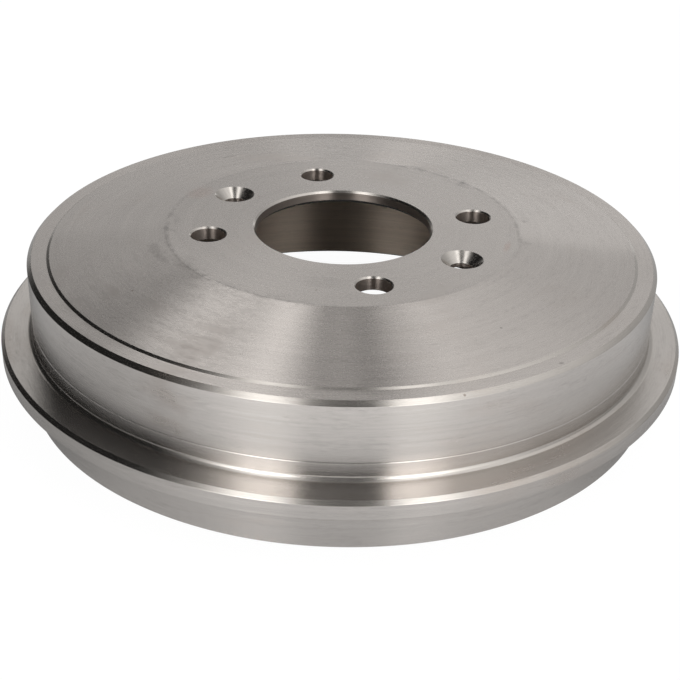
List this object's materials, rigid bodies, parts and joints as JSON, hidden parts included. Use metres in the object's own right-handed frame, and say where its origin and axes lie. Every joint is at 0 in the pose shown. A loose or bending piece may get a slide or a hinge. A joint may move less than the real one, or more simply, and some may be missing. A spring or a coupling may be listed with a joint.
{
  "type": "brake drum",
  "caption": "Bare machined brake drum, closed face up: centre bore, chamfered wheel bolt holes, countersunk screw holes, stepped rim and an outer flange above a plain skirt",
  "frame": {"origin": "centre of the open mouth plane, on the axis of rotation; the drum stands on its mouth with the closed face up", "axes": "+Z is the axis of rotation and points out of the closed face; +X and +Y each pass through the centre of a wheel bolt hole"},
  "size_m": [0.253, 0.253, 0.0584],
  "materials": {
    "machined_iron": "bare turned surface with fine concentric tool marks"
  },
  "bodies": {
    "root": {"brake_drum": "machined_iron"}
  },
  "joints": []
}
